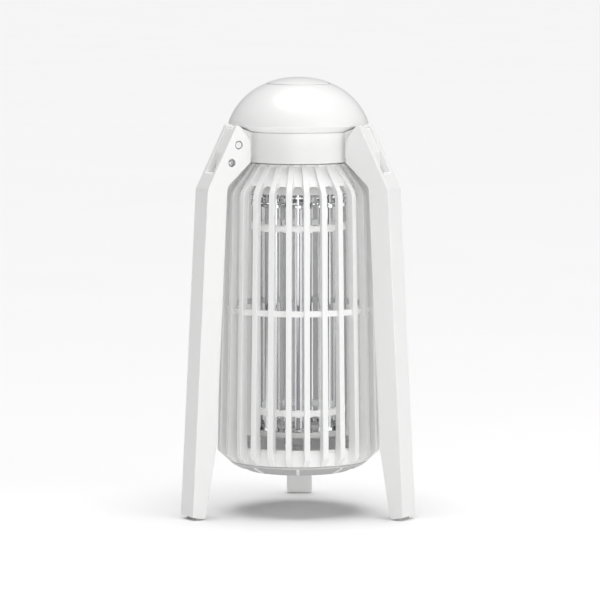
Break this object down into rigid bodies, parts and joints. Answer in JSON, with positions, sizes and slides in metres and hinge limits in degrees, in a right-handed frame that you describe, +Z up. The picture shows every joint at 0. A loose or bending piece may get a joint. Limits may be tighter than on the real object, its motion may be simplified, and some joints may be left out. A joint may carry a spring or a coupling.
{
  "type": "electric bug zapper",
  "caption": "Lantern-shaped electric insect killer: finned cage round a rod grid and tube lamp, domed head with push button, three hinged legs and a pull-down tray.",
  "frame": {"origin": "middle of the footprint box on the floor; the cage's centre line stands 14.65 mm in front of it, because one leg points straight back", "axes": "+Z up; -Y is the front, midway between the two front legs; +X to the right seen from the front"},
  "size_m": [0.149, 0.1331, 0.278],
  "materials": {
    "white_gloss": "satin gloss moulded ABS",
    "white_cage": "satin gloss moulded ABS",
    "white_insulator": "matt moulded nylon",
    "tray_grey": "fine matt moulded ABS",
    "chrome": "polished plating",
    "screw_steel": "zinc plated",
    "spring_steel": "drawn wire",
    "lamp_glass": "clear tube",
    "lamp_white": "fired coating",
    "cap_metal": "satin",
    "board_green": "solder mask",
    "switch_black": "moulded",
    "coil_yellow": "varnished tape",
    "cap_blue": "dipped epoxy",
    "lead_red": "sleeve",
    "lead_black": "sleeve",
    "lead_clear": "silicone sleeve",
    "pad_rubber": "soft matt"
  },
  "bodies": {
    "housing": {"dome_cover": "white_gloss", "head_collar": "white_gloss", "circuit_board": "board_green", "power_switch": "switch_black", "transformer": "coil_yellow", "capacitors": "cap_blue", "inlet_socket": "switch_black", "inlet_contact": "chrome", "dome_screws": "screw_steel", "board_screws": "screw_steel", "cage_crown": "white_cage", "cage_fins": "white_cage", "cage_mid_ring": "white_cage", "cage_band": "white_cage", "cage_screws": "screw_steel", "upper_grid_holder": "white_insulator", "holder_screws": "screw_steel", "live_bus_ring": "chrome", "return_bus_ring": "chrome", "upper_spacer_ring": "white_insulator", "lower_spacer_ring": "white_insulator", "lower_grid_holder": "white_insulator", "live_rods": "chrome", "return_rods": "chrome", "upper_rod_nuts": "chrome", "lower_rod_nuts": "chrome", "lamp_glass": "lamp_glass", "lamp_core": "lamp_white", "upper_lamp_cap": "cap_metal", "lower_lamp_cap": "cap_metal", "upper_lamp_socket": "chrome", "lower_lamp_socket": "white_insulator", "centre_post": "white_insulator", "live_lead": "lead_red", "return_lead": "lead_black", "lamp_lead": "lead_clear", "leg_pins": "screw_steel"},
    "button": {"top_button": "white_gloss", "button_clip": "spring_steel", "button_spring": "spring_steel"},
    "tray": {"collection_tray": "tray_grey"},
    "leg_left_body": {"leg_left": "white_gloss", "leg_screw_left": "screw_steel", "foot_pad_left": "pad_rubber"},
    "leg_right_body": {"leg_right": "white_gloss", "leg_screw_right": "screw_steel", "foot_pad_right": "pad_rubber"},
    "leg_back_body": {"leg_back": "white_gloss", "leg_screw_back": "screw_steel", "foot_pad_back": "pad_rubber"}
  },
  "joints": [
    {"name": "button_press", "type": "slide", "parent": "housing", "child": "button", "axis": [0, 0, -1], "range_m": [0, 0.0015], "stiffness_N_per_m": 800, "springref_m": -0.002, "deforming": ["button_spring"]},
    {"name": "tray_pull", "type": "slide", "parent": "housing", "child": "tray", "axis": [0, 0, -1], "range_m": [0, 0.022]},
    {"name": "leg_left_swing", "type": "hinge", "parent": "housing", "child": "leg_left_body", "pos_m": [-0.04131, -0.0385, 0.2365], "axis": [-0.5, 0.866, 0], "range_deg": [0, 10]},
    {"name": "leg_right_swing", "type": "hinge", "parent": "housing", "child": "leg_right_body", "pos_m": [0.04131, -0.0385, 0.2365], "axis": [-0.5, -0.866, 0], "range_deg": [0, 10]},
    {"name": "leg_back_swing", "type": "hinge", "parent": "housing", "child": "leg_back_body", "pos_m": [0, 0.03305, 0.2365], "axis": [1, 0, 0], "range_deg": [0, 10]}
  ]
}
